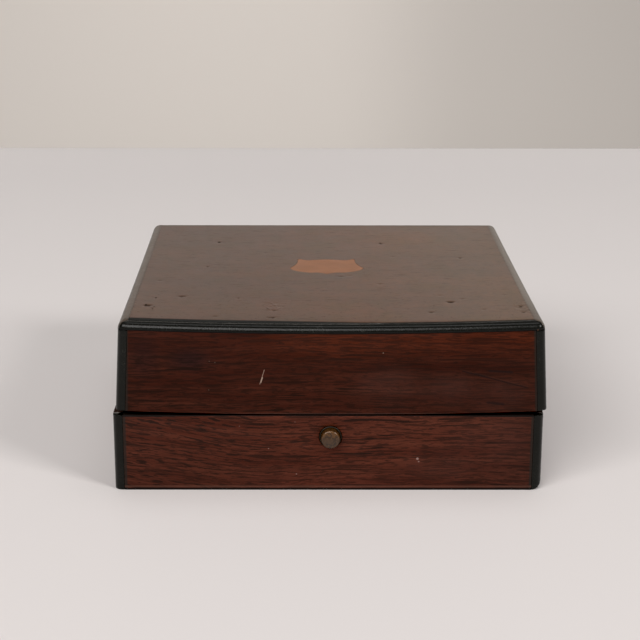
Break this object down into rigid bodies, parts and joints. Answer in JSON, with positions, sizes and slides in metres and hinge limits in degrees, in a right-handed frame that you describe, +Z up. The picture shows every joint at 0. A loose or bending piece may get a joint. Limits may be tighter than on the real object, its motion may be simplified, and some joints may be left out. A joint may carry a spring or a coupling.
{
  "type": "wooden box",
  "caption": "Square hinged mahogany box with black edge beads, a shield inlaid in the lid, back butt hinges and a push-button spring catch in the front.",
  "frame": {"origin": "centre of the base's underside, where the box rests", "axes": "+Z up, +Y from the front with the button to the back with the hinges, +X to the box's right"},
  "size_m": [0.172, 0.1785, 0.0698],
  "materials": {
    "mahogany": "worn satin french polish",
    "mahogany_top": "dull worn polish, greyed",
    "ebonised_bead": "black satin",
    "satinwood_inlay": "satin",
    "felt_lining": "matt felt",
    "aged_brass": "brown patina, worn bright",
    "spring_steel": "blued and dulled"
  },
  "bodies": {
    "base": {"base_front_wall": "mahogany", "base_right_wall": "mahogany", "base_back_wall": "mahogany", "base_left_wall": "mahogany", "base_corner_bead_front_left": "ebonised_bead", "base_corner_bead_front_right": "ebonised_bead", "base_corner_bead_back_left": "ebonised_bead", "base_corner_bead_back_right": "ebonised_bead", "base_bottom_panel": "mahogany", "base_floor_lining": "felt_lining", "button_ferrule": "aged_brass", "catch_spring_foot": "spring_steel", "catch_screw_left": "aged_brass", "catch_screw_right": "aged_brass", "hinge_leaf_base_left": "aged_brass", "hinge_leaf_base_right": "aged_brass", "hinge_pin_left": "aged_brass", "hinge_pin_right": "aged_brass", "hinge_screw_base_left_1": "aged_brass", "hinge_screw_base_left_2": "aged_brass", "hinge_screw_base_right_1": "aged_brass", "hinge_screw_base_right_2": "aged_brass"},
    "lid": {"lid_front_wall": "mahogany", "lid_right_wall": "mahogany", "lid_back_wall": "mahogany", "lid_left_wall": "mahogany", "lid_corner_bead_front_left": "ebonised_bead", "lid_corner_bead_front_right": "ebonised_bead", "lid_corner_bead_back_left": "ebonised_bead", "lid_corner_bead_back_right": "ebonised_bead", "lid_top_bead_front": "ebonised_bead", "lid_top_bead_right": "ebonised_bead", "lid_top_bead_back": "ebonised_bead", "lid_top_bead_left": "ebonised_bead", "lid_top_panel": "mahogany_top", "shield_inlay": "satinwood_inlay", "lid_lining": "felt_lining", "striker_plate": "aged_brass", "striker_screw_left": "aged_brass", "striker_screw_right": "aged_brass", "hinge_leaf_lid_left": "aged_brass", "hinge_leaf_lid_right": "aged_brass", "hinge_screw_lid_left_1": "aged_brass", "hinge_screw_lid_left_2": "aged_brass", "hinge_screw_lid_right_1": "aged_brass", "hinge_screw_lid_right_2": "aged_brass"},
    "button": {"push_button": "aged_brass"},
    "catch": {"catch_spring_blade": "spring_steel"}
  },
  "joints": [
    {"name": "lid_hinge", "type": "hinge", "parent": "base", "child": "lid", "pos_m": [0, 0.0876, 0.03165], "axis": [-1, 0, 0], "range_deg": [0, 100]},
    {"name": "button_press", "type": "slide", "parent": "base", "child": "button", "axis": [0, 1, 0], "range_m": [0, 0.0023], "stiffness_N_per_m": 1200, "springref_m": -0.0005},
    {"name": "catch_flex", "type": "hinge", "parent": "base", "child": "catch", "pos_m": [0, -0.0754, 0.0124], "axis": [-1, 0, 0], "range_deg": [0, 13.5]}
  ],
  "couplings": [
    {"joint": "catch_flex", "follows": "button_press", "rad_per_m": 100}
  ]
}
